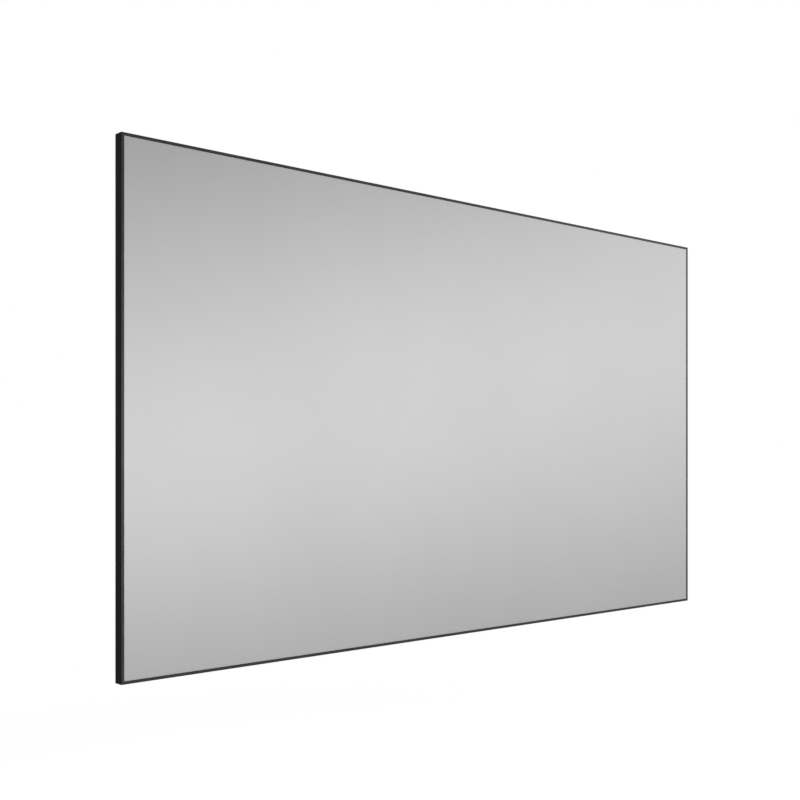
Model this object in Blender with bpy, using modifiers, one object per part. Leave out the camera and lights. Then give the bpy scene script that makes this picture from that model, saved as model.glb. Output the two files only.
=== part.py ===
"""Fixed-frame projection screen, 100 inch diagonal at 16:9, with a thin clipped bezel.

Mitred aluminium beams carry a grey screen fabric. The fabric folds round the frame's outer edge, and
springs in the channel at the back pull the rods in its hem inwards and keep it flat. A thin C-shaped
bezel clips over the folded edge. Z-shaped hangers carry the frame's top flange on a wall.

Metres. +X is to the viewer's right, +Z is up and +Y points to the wall. The origin is the middle of
the centre hanger's back face, on the wall.

Each side of the frame has a section plane: "inward" runs from the outer edge to the screen's middle,
"back" runs from the bezel's front face to the wall, and "along" follows the side.
"""

import math

import bmesh
import bpy
from mathutils import Matrix, Vector

# Picture and bezel
VIEW_WIDTH = 2.214  # the picture that shows inside the bezel
VIEW_HEIGHT = 1.2454
BEZEL_FACE = 0.0075  # width of the bezel's front face
BEZEL_DEPTH = 0.029  # depth of the bezel's side
BEZEL_LIP = 0.0055  # reach of the bezel's rear lip
BEZEL_SHEET = 0.0012
BEZEL_EDGE_RADIUS = 0.0005

# Fabric
FABRIC_THICKNESS = 0.0004
FABRIC_NOTCH = 0.028  # how far from the outer corner each folded flap starts
HEM_START = 0.006  # inward place where the hem's two layers part round the rod
HEM_OVERLAP = 0.0004  # how far short of that the hem's second layer ends
HEM_WINDOW = 0.010  # width of the window in the hem at each spring

# Extruded beam
BEAM_WIDTH = 0.0438
BEAM_WALL = 0.0016
NOSE_RADIUS = 0.0015  # rounding of the edge that the fabric folds over
NOSE_WIDTH = 0.0035
NOSE_HEIGHT = 0.003  # how far the nose holds the fabric clear of the front web
CHAMBER_DEPTH = 0.0136  # the hollow that takes the elbows and splices
CHANNEL_DEPTH = 0.0085  # the open channel at the back that takes the springs
FLANGE_REACH = 0.008  # the flange that the hangers and support bars hold
RIDGE_FROM_INNER = 0.0084  # from the beam's inner face to the ridge that the springs hook over
RIDGE_HEIGHT = 0.0045

# Tension rods and springs
ROD_RADIUS = 0.002
ROD_INWARD = 0.011
ROD_SETBACK = 0.030  # from the outer corner to the end of a rod
SPRING_RADIUS = 0.003
SPRING_BODY = 0.014
SPRING_FROM_ROD = 0.006  # from the rod's axis to the start of the coil
SPRING_END = 0.0004  # length over which the coil's end narrows to the hook
WIRE_RADIUS = 0.00045
HOOK_BITE = 0.0002  # how deep the hook is sunk in the rod, so that they make one piece
HOOK_DROP = 0.0028  # how far the hook reaches down behind the ridge
SPRINGS_LONG = 12  # on the top and on the bottom
SPRINGS_SHORT = 7  # on the left and on the right
SPRING_FROM_CORNER = 0.090

# Elbows, splices and their screws
PLATE_SHEET = 0.004
ELBOW_ARM = 0.135
ELBOW_CORNER_CUT = 0.006
ELBOW_SCREW_SPACING = 0.055
SPLICE_LENGTH = 0.160
SPLICE_SCREW_SPACING = 0.035
SCREW_FROM_END = 0.020  # from the end of an elbow's arm or a splice to its last screw
SCREW_INWARD = 0.024
SCREW_RADIUS = 0.0024
SCREW_LENGTH = 0.008
SCREW_HEAD_RADIUS = 0.0044
SCREW_HEAD = 0.0024
SCREW_SOCKET_RADIUS = 0.0018
SCREW_SOCKET = 0.0014

# Support bars
BAR_FROM_CENTRE = 0.400
BAR_WIDTH = 0.025
BAR_DEPTH = 0.014
BAR_WALL = 0.0012
BAR_FRONT = 0.0125  # from the bezel's front face to the bar
SHOE_NECK = 0.008  # from the flange's edge to the end of the bar
SHOE_PLUG = 0.020
SHOE_JAW = 0.0025  # the jaw behind the flange

# Wall hangers and bumpers
WALL_GAP = 0.0055  # from the back of the beams to the wall
HANGER_SPACING = 0.800
HANGER_WIDTH = 0.100
HANGER_HEIGHT = 0.038
HANGER_SHEET = 0.002
HANGER_BEND = 0.001  # inside radius
HANGER_CORNER = 0.006
TONGUE_GAP = 0.001  # between the hanger's tongue and the flange
TONGUE_TOP_GAP = 0.0015
SLOT_SPACING = 0.060
SLOT_LENGTH = 0.018
SLOT_WIDTH = 0.0064
BUMPER_LENGTH = 0.050
BUMPER_WIDTH = 0.0086
BUMPER_FROM_CORNER = 0.150
BUMPER_EDGE = 0.001

# Clearances
GAP = 0.0003  # between pieces that touch
JOINT_GAP = 0.0003  # between the two halves of a split beam, bezel or rod

# Finest steps of the round shapes
ARC_STEP = math.radians(30)
HEM_STEP = math.radians(45)
HOOK_STEP = math.radians(62)
ROD_SIDES = 8
HOLE_SIDES = 8
SCREW_SIDES = 8
SLOT_STEP = math.radians(36)

# Places worked out from the sizes above, measured inward or back
FABRIC_MID = BEZEL_SHEET + GAP + FABRIC_THICKNESS / 2
BEAM_OUTER = BEZEL_SHEET + GAP + FABRIC_THICKNESS + GAP
BEAM_FRONT = BEAM_OUTER
BEAM_INNER = BEAM_OUTER + BEAM_WIDTH
WEB_FRONT = BEAM_FRONT + NOSE_HEIGHT
CHAMBER_BACK = WEB_FRONT + BEAM_WALL + CHAMBER_DEPTH
FLOOR = CHAMBER_BACK + BEAM_WALL
BEAM_BACK = FLOOR + CHANNEL_DEPTH
FLANGE_FRONT = BEAM_BACK - BEAM_WALL
FLANGE_EDGE = BEAM_INNER + FLANGE_REACH
RIM_BACK = BEZEL_DEPTH - BEAM_OUTER
RIM_CENTRE = RIM_BACK - BEAM_WALL / 2
RIDGE = BEAM_INNER - RIDGE_FROM_INNER - BEAM_WALL
RIDGE_BACK = FLOOR + RIDGE_HEIGHT
HEM_BACK = RIM_BACK + GAP + FABRIC_THICKNESS / 2  # the plane of the hem, the rods and the springs
PLATE_BACK = CHAMBER_BACK - GAP
PLATE_OUTER = BEAM_OUTER + BEAM_WALL + GAP
PLATE_INNER = BEAM_INNER - BEAM_WALL - GAP
ELBOW_LAST_SCREW = ELBOW_ARM - SCREW_FROM_END
ELBOW_SCREWS = (ELBOW_LAST_SCREW - ELBOW_SCREW_SPACING, ELBOW_LAST_SCREW)  # from the outer corner
SPLICE_LAST_SCREW = SPLICE_LENGTH / 2 - SCREW_FROM_END
SPLICE_SCREWS = (SPLICE_LAST_SCREW - SPLICE_SCREW_SPACING, SPLICE_LAST_SCREW)  # from the middle joint
WALL = BEAM_BACK + WALL_GAP
ARM_TOP = FLANGE_EDGE + GAP
HANGER_END = ARM_TOP + HANGER_HEIGHT
HANGER_MIDDLE = ARM_TOP + HANGER_HEIGHT / 2
BAR_END = FLANGE_EDGE + SHOE_NECK + GAP

# The frame's outline in the part's own axes
WIDTH = VIEW_WIDTH + 2 * BEZEL_FACE
HEIGHT = VIEW_HEIGHT + 2 * BEZEL_FACE
TOP_Z = HANGER_MIDDLE
MIDDLE_Z = TOP_Z - HEIGHT / 2
FRONT_Y = -WALL

MERGE = 0.00001

# name: (colour, roughness, metallic)
FINISHES = {
    "screen_grey": ((0.56, 0.56, 0.56), 0.55, 0.0),
    "bezel_black": ((0.030, 0.030, 0.031), 0.42, 0.6),
    "beam_black": ((0.035, 0.035, 0.037), 0.50, 0.5),
    "plate_steel": ((0.50, 0.51, 0.53), 0.40, 1.0),
    "spring_steel": ((0.60, 0.61, 0.62), 0.30, 1.0),
    "bar_aluminium": ((0.62, 0.63, 0.64), 0.38, 1.0),
    "shoe_plastic": ((0.025, 0.025, 0.026), 0.60, 0.0),
    "hanger_steel": ((0.56, 0.57, 0.59), 0.45, 1.0),
    "bumper_rubber": ((0.020, 0.020, 0.020), 0.85, 0.0),
    "screw_steel": ((0.10, 0.10, 0.11), 0.35, 1.0),
}


def clear_scene():
    for found in list(bpy.data.objects):
        bpy.data.objects.remove(found)


def make_collection(name):
    collection = bpy.data.collections.new(name)
    bpy.context.scene.collection.children.link(collection)
    return collection


def make_material(name, colour, roughness, metallic):
    material = bpy.data.materials.new(name)
    material.use_nodes = True
    shader = material.node_tree.nodes["Principled BSDF"]
    shader.inputs["Base Color"].default_value = (*colour, 1.0)
    shader.inputs["Roughness"].default_value = roughness
    shader.inputs["Metallic"].default_value = metallic
    return material


clear_scene()
PARTS = make_collection("projection_screen")
CUTTERS = make_collection("cutters")
MATERIALS = {name: make_material(name, *finish) for name, finish in FINISHES.items()}


# Frames of reference


def make_empty(name, origin, inward, along, parent=None):
    """An empty with local X inward, local Y to the back and local Z along."""
    empty = bpy.data.objects.new(name, None)
    PARTS.objects.link(empty)
    axes = Matrix((inward, (0, 1, 0), along)).transposed()
    empty.matrix_world = Matrix.Translation(origin) @ axes.to_4x4()
    empty.parent = parent
    return empty


ROOT = make_empty("projection_screen", (0, 0, 0), (1, 0, 0), (0, 0, 1))

SIDES = {
    "top": make_empty("top_side", (0, FRONT_Y, TOP_Z), (0, 0, -1), (1, 0, 0), ROOT),
    "bottom": make_empty("bottom_side", (0, FRONT_Y, TOP_Z - HEIGHT), (0, 0, 1), (-1, 0, 0), ROOT),
    "left": make_empty("left_side", (-WIDTH / 2, FRONT_Y, MIDDLE_Z), (1, 0, 0), (0, 0, 1), ROOT),
    "right": make_empty("right_side", (WIDTH / 2, FRONT_Y, MIDDLE_Z), (-1, 0, 0), (0, 0, -1), ROOT),
}
LENGTHS = {"top": WIDTH, "bottom": WIDTH, "left": HEIGHT, "right": HEIGHT}
SPRING_COUNTS = {
    "top": SPRINGS_LONG,
    "bottom": SPRINGS_LONG,
    "left": SPRINGS_SHORT,
    "right": SPRINGS_SHORT,
}
# The pieces of each side, in the order of the side's own along axis
HALVES = {"top": ("top_left", "top_right"), "bottom": ("bottom_right", "bottom_left")}
# Each corner's two directions into the screen
CORNERS = {
    "top_left": ((1, 0, 0), (0, 0, -1)),
    "top_right": ((0, 0, -1), (-1, 0, 0)),
    "bottom_right": ((-1, 0, 0), (0, 0, 1)),
    "bottom_left": ((0, 0, 1), (1, 0, 0)),
}


def runs(side, corner_setback=0.0, joint_gap=JOINT_GAP):
    """(name, start, end, mitred start, mitred end) of each piece along a side."""
    reach = LENGTHS[side] / 2 - corner_setback
    if side not in HALVES:
        return [(side, -reach, reach, True, True)]
    first, second = HALVES[side]
    return [
        (first, -reach, -joint_gap / 2, True, False),
        (second, joint_gap / 2, reach, False, True),
    ]


def spring_places(side):
    """The springs' places along a side, evenly spaced about its middle."""
    reach = LENGTHS[side] / 2 - SPRING_FROM_CORNER
    count = SPRING_COUNTS[side]
    return [-reach + 2 * reach * i / (count - 1) for i in range(count)]


# Making shapes


def arc(centre, radius, start, end, step=ARC_STEP):
    """Points on an arc from one angle to another, in degrees, ends included."""
    begin, finish = math.radians(start), math.radians(end)
    count = max(1, round(abs(finish - begin) / step))
    angles = [begin + (finish - begin) * i / count for i in range(count + 1)]
    return [(centre[0] + radius * math.cos(a), centre[1] + radius * math.sin(a)) for a in angles]


def welded_mesh(made):
    """The evaluated mesh of an object that is then removed, with its loose caps welded."""
    PARTS.objects.link(made)
    bpy.context.view_layer.update()
    graph = bpy.context.evaluated_depsgraph_get()
    mesh = bpy.data.meshes.new_from_object(made.evaluated_get(graph))
    bpy.data.objects.remove(made)
    shape = bmesh.new()
    shape.from_mesh(mesh)
    bmesh.ops.remove_doubles(shape, verts=shape.verts, dist=MERGE)
    bmesh.ops.recalc_face_normals(shape, faces=shape.faces)
    shape.to_mesh(mesh)
    shape.free()
    return mesh


def prism(loops, half_length):
    """A mesh: flat outlines, the later ones holes in the first, extruded both ways along local Z."""
    curve = bpy.data.curves.new("outline", "CURVE")
    curve.dimensions = "2D"
    curve.fill_mode = "BOTH"
    curve.extrude = half_length
    for loop in loops:
        spline = curve.splines.new("POLY")
        spline.points.add(len(loop) - 1)
        for point, (x, y) in zip(spline.points, loop):
            point.co = (x, y, 0, 1)
        spline.use_cyclic_u = True
    return welded_mesh(bpy.data.objects.new("outline", curve))


def run_of(loops, start, end, mitred_start, mitred_end):
    """A prism from start to end, its ends square or cut at 45 degrees to meet the next side."""
    mesh = prism(loops, 1.0)
    for vertex in mesh.vertices:
        inward = vertex.co.x
        if vertex.co.z < 0:
            vertex.co.z = start + (inward + JOINT_GAP if mitred_start else 0)
        else:
            vertex.co.z = end - (inward + JOINT_GAP if mitred_end else 0)
    return mesh


def rectangle(low, high):
    return [low, (high[0], low[1]), high, (low[0], high[1])]


def shade_round(mesh):
    mesh.shade_smooth()
    mesh.set_sharp_from_angle(angle=math.radians(35))


def add_part(name, mesh, finish, parent, place=(0, 0, 0), turn=None):
    part = bpy.data.objects.new(name, mesh)
    PARTS.objects.link(part)
    if not mesh.materials:
        mesh.materials.append(MATERIALS[finish])
    part.parent = parent
    part.location = place
    if turn:
        part.rotation_euler = turn
    return part


def add_cutter(name, mesh, parent):
    """A helper that Boolean modifiers use. It isn't a piece of the object."""
    cutter = bpy.data.objects.new(name, mesh)
    CUTTERS.objects.link(cutter)
    cutter.parent = parent
    cutter.hide_render = True
    cutter.display_type = "WIRE"
    return cutter


def use(part, cutter, operation="DIFFERENCE"):
    modifier = part.modifiers.new(cutter.name, "BOOLEAN")
    modifier.operation = operation
    modifier.object = cutter
    modifier.solver = "EXACT"


def round_pins(places, radius, sides, low, high):
    """One mesh of straight pins along local Y, from low to high, at each (inward, along) place."""
    shape = bmesh.new()
    turn = Matrix.Rotation(math.radians(90), 4, "X")
    for inward, along in places:
        middle = Matrix.Translation((inward, (low + high) / 2, along))
        bmesh.ops.create_cone(
            shape,
            cap_ends=True,
            segments=sides,
            radius1=radius,
            radius2=radius,
            depth=high - low,
            matrix=middle @ turn,
        )
    mesh = bpy.data.meshes.new("pins")
    shape.to_mesh(mesh)
    shape.free()
    return mesh


def boxes(places, size):
    """One mesh of equal boxes centred on the places."""
    shape = bmesh.new()
    for place in places:
        matrix = Matrix.Translation(place) @ Matrix.Diagonal((*size, 1))
        bmesh.ops.create_cube(shape, size=1, matrix=matrix)
    mesh = bpy.data.meshes.new("boxes")
    shape.to_mesh(mesh)
    shape.free()
    return mesh


# Bezel and beams


def bezel_section():
    r = BEZEL_EDGE_RADIUS
    return [
        *arc((r, r), r, 180, 270, 2 * ARC_STEP),
        (BEZEL_FACE, 0),
        (BEZEL_FACE, BEZEL_SHEET),
        (BEZEL_SHEET, BEZEL_SHEET),
        (BEZEL_SHEET, BEZEL_DEPTH - BEZEL_SHEET),
        (BEZEL_LIP, BEZEL_DEPTH - BEZEL_SHEET),
        (BEZEL_LIP, BEZEL_DEPTH),
        *arc((r, BEZEL_DEPTH - r), r, 90, 180, 2 * ARC_STEP),
    ]


def beam_section():
    """The extrusion's outline and the hollow chamber in it."""
    outline = [
        *arc((BEAM_OUTER + NOSE_RADIUS, BEAM_FRONT + NOSE_RADIUS), NOSE_RADIUS, 180, 270),
        (BEAM_OUTER + NOSE_WIDTH, BEAM_FRONT),
        (BEAM_OUTER + NOSE_WIDTH, WEB_FRONT),
        (BEAM_INNER, WEB_FRONT),
        (BEAM_INNER, FLANGE_FRONT),
        (FLANGE_EDGE, FLANGE_FRONT),
        (FLANGE_EDGE, BEAM_BACK),
        (BEAM_INNER - BEAM_WALL, BEAM_BACK),
        (BEAM_INNER - BEAM_WALL, FLOOR),
        (RIDGE + BEAM_WALL, FLOOR),
        (RIDGE + BEAM_WALL, RIDGE_BACK),
        (RIDGE, RIDGE_BACK),
        (RIDGE, FLOOR),
        (BEAM_OUTER + BEAM_WALL, FLOOR),
        *arc((BEAM_OUTER + BEAM_WALL / 2, RIM_CENTRE), BEAM_WALL / 2, 0, 180, 2 * ARC_STEP),
    ]
    chamber = rectangle(
        (BEAM_OUTER + BEAM_WALL, WEB_FRONT + BEAM_WALL), (BEAM_INNER - BEAM_WALL, CHAMBER_BACK)
    )
    return [outline, chamber]


def screw_places(side):
    """Where the elbows' and splices' screws go along a side."""
    corner = LENGTHS[side] / 2
    places = [sign * (corner - s) for sign in (-1, 1) for s in ELBOW_SCREWS]
    if side in HALVES:
        places += [sign * s for sign in (-1, 1) for s in SPLICE_SCREWS]
    return places


def add_side(side):
    """The bezel and the beams of one side, with the screws' clearance holes in the beams."""
    section = beam_section()
    holes = round_pins(
        [(SCREW_INWARD, place) for place in screw_places(side)],
        SCREW_RADIUS + GAP,
        HOLE_SIDES,
        CHAMBER_BACK - BEAM_WALL,
        FLOOR + BEAM_WALL,
    )
    cutter = add_cutter(f"{side}_screw_holes", holes, SIDES[side])
    for run in runs(side):
        add_part(f"bezel_{run[0]}", run_of([bezel_section()], *run[1:]), "bezel_black", SIDES[side])
        beam = add_part(f"beam_{run[0]}", run_of(section, *run[1:]), "beam_black", SIDES[side])
        use(beam, cutter)


# Elbows, splices and screws


def add_plates():
    """An L-shaped elbow in each corner, and a straight splice across the top and bottom joints."""
    middle = PLATE_BACK - PLATE_SHEET / 2
    low, high, arm, cut = PLATE_OUTER, PLATE_INNER, ELBOW_ARM, ELBOW_CORNER_CUT
    outline = [
        (low, low + cut),
        (low + cut, low),
        (arm, low),
        (arm, high),
        (high, high),
        (high, arm),
        (low, arm),
    ]
    for corner, (first, second) in CORNERS.items():
        origin = Vector((WIDTH / 2, FRONT_Y, HEIGHT / 2))
        origin.x *= -1 if "left" in corner else 1
        origin.z = MIDDLE_Z + (origin.z if "top" in corner else -origin.z)
        # Local X and Y are the corner's two directions, so local Z points to the back
        axes = Matrix((first, second, (0, 1, 0))).transposed()
        empty = bpy.data.objects.new(f"{corner}_corner", None)
        PARTS.objects.link(empty)
        empty.matrix_world = Matrix.Translation(origin) @ axes.to_4x4()
        empty.parent = ROOT
        places = [spot for s in ELBOW_SCREWS for spot in ((s, SCREW_INWARD), (SCREW_INWARD, s))]
        elbow = add_part(
            f"elbow_{corner}", prism([outline], PLATE_SHEET / 2), "plate_steel", empty, (0, 0, middle)
        )
        holes = plate_holes(places)
        use(elbow, add_cutter(f"{corner}_elbow_holes", holes, empty))
        for number, (x, y) in enumerate(places, 1):
            add_part(f"elbow_screw_{corner}_{number}", SCREW, "screw_steel", empty, (x, y, FLOOR + GAP))
    for side in HALVES:
        plate = rectangle((low, -SPLICE_LENGTH / 2), (high, SPLICE_LENGTH / 2))
        turn = (math.radians(-90), 0, 0)
        splice = add_part(
            f"splice_{side}", prism([plate], PLATE_SHEET / 2), "plate_steel", SIDES[side]
        )
        splice.location = (0, middle, 0)
        splice.rotation_euler = turn
        spots = [sign * s for s in SPLICE_SCREWS for sign in (-1, 1)]
        holes = round_pins(
            [(SCREW_INWARD, spot) for spot in spots],
            SCREW_RADIUS + GAP,
            HOLE_SIDES,
            PLATE_BACK - 2 * PLATE_SHEET,
            FLOOR,
        )
        use(splice, add_cutter(f"{side}_splice_holes", holes, SIDES[side]))
        for number, spot in enumerate(spots, 1):
            add_part(
                f"splice_screw_{side}_{number}",
                SCREW,
                "screw_steel",
                SIDES[side],
                (SCREW_INWARD, FLOOR + GAP, spot),
                turn,
            )


def plate_holes(places):
    """Cutters for an elbow's screws, along local Z, through the plate."""
    shape = bmesh.new()
    for x, y in places:
        bmesh.ops.create_cone(
            shape,
            cap_ends=True,
            segments=HOLE_SIDES,
            radius1=SCREW_RADIUS + GAP,
            radius2=SCREW_RADIUS + GAP,
            depth=3 * PLATE_SHEET,
            matrix=Matrix.Translation((x, y, PLATE_BACK - PLATE_SHEET / 2)),
        )
    mesh = bpy.data.meshes.new("plate_holes")
    shape.to_mesh(mesh)
    shape.free()
    return mesh


def screw_mesh():
    """A socket-head screw along local Z, its head above the origin and its shank below."""
    outline = bmesh.new()
    points = [
        (0, SCREW_HEAD),
        (SCREW_HEAD_RADIUS, SCREW_HEAD),
        (SCREW_HEAD_RADIUS, 0),
        (SCREW_RADIUS, 0),
        (SCREW_RADIUS, -SCREW_LENGTH),
        (0, -SCREW_LENGTH),
    ]
    spots = [outline.verts.new((r, 0, z)) for r, z in points]
    for first, second in zip(spots, spots[1:]):
        outline.edges.new((first, second))
    mesh = bpy.data.meshes.new("screw")
    outline.to_mesh(mesh)
    outline.free()
    screw = bpy.data.objects.new("screw", mesh)
    turned = screw.modifiers.new("turned", "SCREW")
    turned.steps = turned.render_steps = SCREW_SIDES
    turned.use_merge_vertices = True
    turned.merge_threshold = MERGE
    socket = bmesh.new()
    bmesh.ops.create_cone(
        socket,
        cap_ends=True,
        segments=6,
        radius1=SCREW_SOCKET_RADIUS,
        radius2=SCREW_SOCKET_RADIUS,
        depth=2 * SCREW_SOCKET,
        matrix=Matrix.Translation((0, 0, SCREW_HEAD)),
    )
    socket_mesh = bpy.data.meshes.new("socket")
    socket.to_mesh(socket_mesh)
    socket.free()
    use(screw, add_cutter("screw_socket", socket_mesh, None))
    made = welded_mesh(screw)
    made.materials.clear()
    shade_round(made)
    return made


# Fabric


def fabric_path():
    """The flap's middle line from the front sheet's edge, round the beam and the rod."""
    fold = (BEAM_OUTER + NOSE_RADIUS, BEAM_FRONT + NOSE_RADIUS)
    rim = (BEAM_OUTER + BEAM_WALL / 2, RIM_CENTRE)
    clear = GAP + FABRIC_THICKNESS / 2
    rod = (ROD_INWARD, HEM_BACK)
    round_rod = ROD_RADIUS + clear
    tangent = 180 - math.degrees(math.acos(round_rod / (ROD_INWARD - HEM_START)))
    return [
        *arc(fold, NOSE_RADIUS + clear, 270, 180),
        *arc(rim, BEAM_WALL / 2 + clear, 180, 90),
        (HEM_START, HEM_BACK),
        *arc(rod, round_rod, tangent, -tangent, HEM_STEP),
        (HEM_START + HEM_OVERLAP, HEM_BACK - FABRIC_THICKNESS - GAP),
    ]


def fabric_sheet():
    """The sheet's middle surface: the flat front, and a flap folded back from each edge."""
    path = fabric_path()
    edge = path[0][0]
    shape = bmesh.new()
    bmesh.ops.create_grid(shape, x_segments=3, y_segments=3, size=1)
    half = {"x": WIDTH / 2, "y": HEIGHT / 2}
    for vertex in shape.verts:
        for axis, reach in half.items():
            at = getattr(vertex.co, axis)
            inset = edge if abs(at) > 0.5 else FABRIC_NOTCH
            setattr(vertex.co, axis, math.copysign(reach - inset, at))
    for vertex in shape.verts:
        x, y = vertex.co.x, vertex.co.y
        vertex.co = (x, FRONT_Y + FABRIC_MID, MIDDLE_Z + y)
    for side, empty in SIDES.items():
        frame = empty.matrix_world
        inverse = frame.inverted()
        reach = LENGTHS[side] / 2 - FABRIC_NOTCH
        row = []
        for line in shape.edges:
            ends = [inverse @ vertex.co for vertex in line.verts]
            if all(abs(p.x - edge) < MERGE and abs(abs(p.z) - reach) < MERGE for p in ends):
                row = [line]
        for (inward, back), (next_inward, next_back) in zip(path, path[1:]):
            step = frame.to_3x3() @ Vector((next_inward - inward, next_back - back, 0))
            made = bmesh.ops.extrude_edge_only(shape, edges=row)["geom"]
            row = [item for item in made if isinstance(item, bmesh.types.BMEdge)]
            moved = [item for item in made if isinstance(item, bmesh.types.BMVert)]
            row = [line for line in row if all(vertex in moved for vertex in line.verts)]
            bmesh.ops.translate(shape, verts=moved, vec=step)
    bmesh.ops.recalc_face_normals(shape, faces=shape.faces)
    mesh = bpy.data.meshes.new("fabric")
    shape.to_mesh(mesh)
    shape.free()
    return mesh


def add_fabric():
    """The fabric, with a window in its hem wherever a spring's hook takes hold of the rod."""
    fabric = add_part("screen_fabric", fabric_sheet(), "screen_grey", ROOT)
    sheet = fabric.modifiers.new("thickness", "SOLIDIFY")
    sheet.thickness = FABRIC_THICKNESS
    sheet.offset = 0
    sheet.use_even_offset = True
    round_hem = ROD_RADIUS + GAP + FABRIC_THICKNESS
    outer = HEM_START + 2 * HEM_OVERLAP
    inner = ROD_INWARD + 2 * round_hem
    for side, empty in SIDES.items():
        middles = [((outer + inner) / 2, HEM_BACK, place) for place in spring_places(side)]
        windows = boxes(middles, (inner - outer, 3 * round_hem, HEM_WINDOW))
        use(fabric, add_cutter(f"{side}_hem_windows", windows, empty))


# Rods and springs


def spring_mesh(places):
    """One mesh of a spring at each place along a side: a hook round the rod, the close coil, and a
    hook over the beam's ridge."""
    start = ROD_INWARD + SPRING_FROM_ROD
    end = start + SPRING_BODY
    over = RIDGE_BACK + GAP + WIRE_RADIUS
    behind = RIDGE + BEAM_WALL + GAP + WIRE_RADIUS
    wide = SPRING_RADIUS / WIRE_RADIUS
    ring = arc((ROD_INWARD, HEM_BACK), ROD_RADIUS + WIRE_RADIUS - HOOK_BITE, 290, 40, HOOK_STEP)
    line = [(point, 1) for point in ring]
    line += [
        ((start - SPRING_END, HEM_BACK), 1),
        ((start, HEM_BACK), wide),
        ((end, HEM_BACK), wide),
        ((end + SPRING_END, HEM_BACK), 1),
        ((RIDGE - SPRING_END, over), 1),
        ((behind, over), 1),
        ((behind, over - HOOK_DROP), 1),
    ]
    curve = bpy.data.curves.new("spring", "CURVE")
    curve.dimensions = "3D"
    curve.bevel_depth = WIRE_RADIUS
    curve.bevel_resolution = 1
    curve.use_fill_caps = True
    for place in places:
        spline = curve.splines.new("POLY")
        spline.points.add(len(line) - 1)
        for point, ((inward, back), radius) in zip(spline.points, line):
            point.co = (inward, back, place, 1)
            point.radius = radius
    return welded_mesh(bpy.data.objects.new("spring", curve))


def add_tension(side):
    """The rods in one side's hem, each made one piece with the springs that pull it."""
    for name, start, end, _, _ in runs(side, ROD_SETBACK):
        shape = bmesh.new()
        bmesh.ops.create_cone(
            shape,
            cap_ends=True,
            segments=ROD_SIDES,
            radius1=ROD_RADIUS,
            radius2=ROD_RADIUS,
            depth=end - start,
            matrix=Matrix.Translation((ROD_INWARD, HEM_BACK, (start + end) / 2)),
        )
        mesh = bpy.data.meshes.new("rod")
        shape.to_mesh(mesh)
        shape.free()
        shade_round(mesh)
        rod = add_part(f"tension_rod_{name}", mesh, "spring_steel", SIDES[side])
        places = [place for place in spring_places(side) if start < place < end]
        springs = add_cutter(f"{name}_springs", spring_mesh(places), SIDES[side])
        use(rod, springs, "UNION")


# Support bars


def add_support_bars():
    """Two upright tubes behind the fabric, plugged on shoes that grip the top and bottom flanges."""
    half = BAR_WIDTH / 2
    inside = half - BAR_WALL
    front, back = BAR_FRONT, BAR_FRONT + BAR_DEPTH
    bar_section = [
        rectangle((-half, front), (half, back)),
        rectangle((-inside, front + BAR_WALL), (inside, back - BAR_WALL)),
    ]
    top = BEAM_INNER + GAP
    neck = FLANGE_EDGE + SHOE_NECK
    shoe_section = [
        (top, front),
        (neck, front),
        (neck, BEAM_BACK + GAP + SHOE_JAW),
        (top, BEAM_BACK + GAP + SHOE_JAW),
        (top, BEAM_BACK + GAP),
        (FLANGE_EDGE + GAP, BEAM_BACK + GAP),
        (FLANGE_EDGE + GAP, FLANGE_FRONT - GAP),
        (top, FLANGE_FRONT - GAP),
    ]
    plug_start = neck - BAR_WALL
    plug_end = BAR_END + SHOE_PLUG
    plug_size = (
        plug_end - plug_start,
        BAR_DEPTH - 2 * (BAR_WALL + GAP),
        2 * (inside - GAP),
    )
    for name, x in (("left", -BAR_FROM_CENTRE), ("right", BAR_FROM_CENTRE)):
        add_part(
            f"support_bar_{name}",
            prism(bar_section, HEIGHT / 2 - BAR_END),
            "bar_aluminium",
            ROOT,
            (x, FRONT_Y, MIDDLE_Z),
        )
        for side in ("top", "bottom"):
            along = x if side == "top" else -x
            shoe = add_part(
                f"bar_shoe_{side}_{name}",
                prism([shoe_section], half),
                "shoe_plastic",
                SIDES[side],
                (0, 0, along),
            )
            middle = ((plug_start + plug_end) / 2, front + BAR_DEPTH / 2, along)
            plug = boxes([middle], plug_size)
            use(shoe, add_cutter(f"{side}_{name}_plug", plug, SIDES[side]), "UNION")


# Wall hangers and bumpers


def hanger_section():
    """The folded sheet: a tongue up in front of the flange, an arm under it, a plate down the wall."""
    inside, outside = HANGER_BEND, HANGER_BEND + HANGER_SHEET
    tongue_back = FLANGE_FRONT - TONGUE_GAP
    tongue_front = tongue_back - HANGER_SHEET
    tip = BEAM_INNER + TONGUE_TOP_GAP
    low_bend = (ARM_TOP - inside, tongue_back + inside)
    wall_front = WALL - HANGER_SHEET
    high_bend = (ARM_TOP + outside, wall_front - inside)
    return [
        (tip, tongue_front),
        *arc(low_bend, outside, 270, 360),
        *arc(high_bend, inside, 180, 90),
        (HANGER_END, wall_front),
        (HANGER_END, WALL),
        *arc(high_bend, outside, 90, 180),
        *arc(low_bend, inside, 360, 270),
        (tip, tongue_back),
    ]


def slot_outline(middle):
    """A slot with round ends, in (inward, along)."""
    radius = SLOT_WIDTH / 2
    reach = SLOT_LENGTH / 2 - radius
    return [
        *arc((HANGER_MIDDLE, middle + reach), radius, 0, 180, SLOT_STEP),
        *arc((HANGER_MIDDLE, middle - reach), radius, 180, 360, SLOT_STEP),
    ]


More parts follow.
